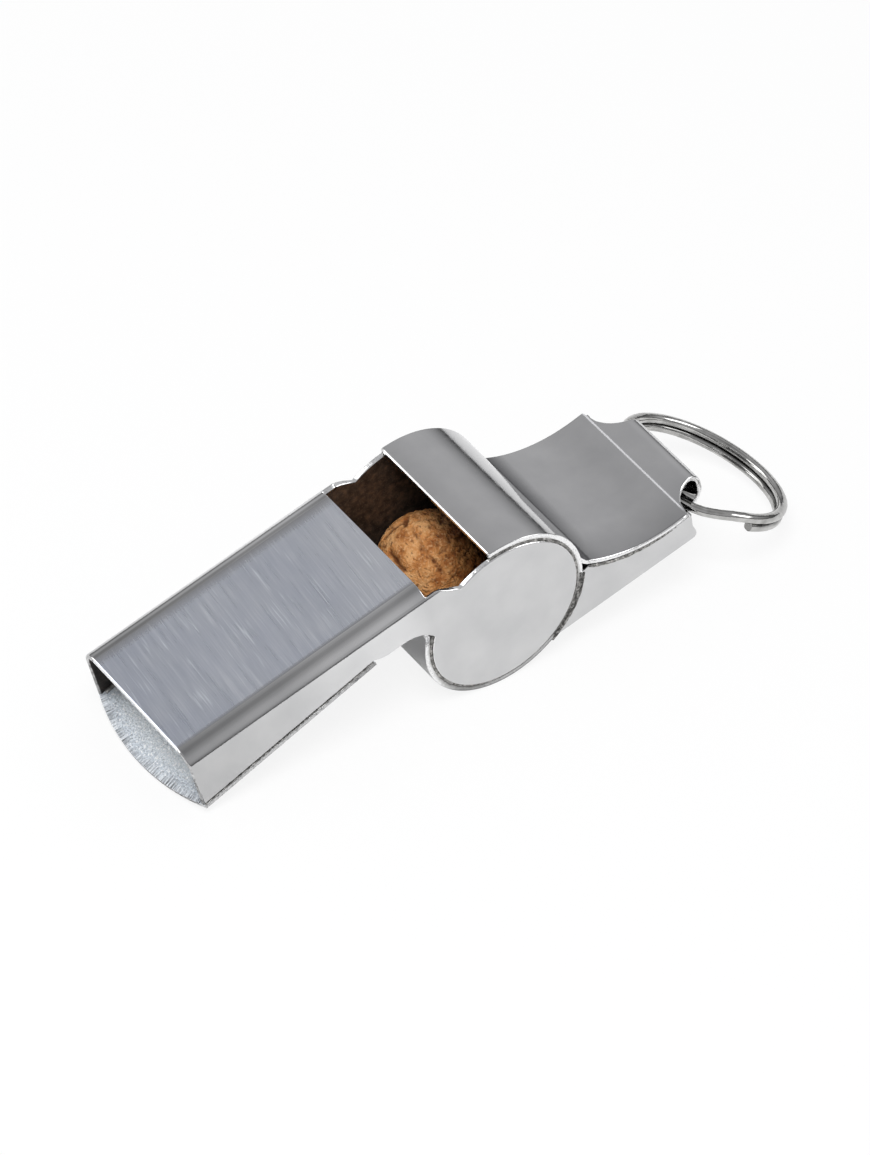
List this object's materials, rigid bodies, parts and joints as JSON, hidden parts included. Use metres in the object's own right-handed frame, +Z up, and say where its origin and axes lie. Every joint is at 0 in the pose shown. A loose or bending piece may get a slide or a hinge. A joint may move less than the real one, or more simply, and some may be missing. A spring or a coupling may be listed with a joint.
{
  "type": "pea whistle",
  "caption": "Sheet-steel pea whistle with a flat windway, round barrel holding a loose cork ball, and a split ring on its tail.",
  "frame": {"origin": "on the table, under the middle of the whole whistle as it lies", "axes": "+X from the mouth to the tail, +Y to the left side plate, +Z up from the table"},
  "size_m": [0.0818, 0.02, 0.02],
  "materials": {
    "brushed_cover": "brushed top, polished sides",
    "polished_steel": "polished",
    "brazing": "dull, pitted",
    "cork": "raw cork",
    "ring_wire": "bright nickel plate"
  },
  "bodies": {
    "whistle": {"mouthpiece_cover": "brushed_cover", "barrel_strip": "polished_steel", "tail_strip": "polished_steel", "tail_side_left": "polished_steel", "tail_side_right": "polished_steel", "cheek_seam_left": "brazing", "cheek_seam_right": "brazing", "floor_seam_left": "brazing", "floor_seam_right": "brazing", "tail_seam_left": "brazing", "tail_seam_right": "brazing"},
    "pea": {"pea": "cork"},
    "split_ring": {"split_ring": "ring_wire"}
  },
  "joints": [
    {"name": "pea_orbit", "type": "hinge", "parent": "whistle", "child": "pea", "pos_m": [-0.00151, 0, 0.00999], "axis": [0, 1, 0], "continuous": true},
    {"name": "ring_swing", "type": "hinge", "parent": "whistle", "child": "split_ring", "pos_m": [0.02439, 0, 0.01049], "axis": [0, 1, 0], "range_deg": [-100, 4.5]}
  ]
}
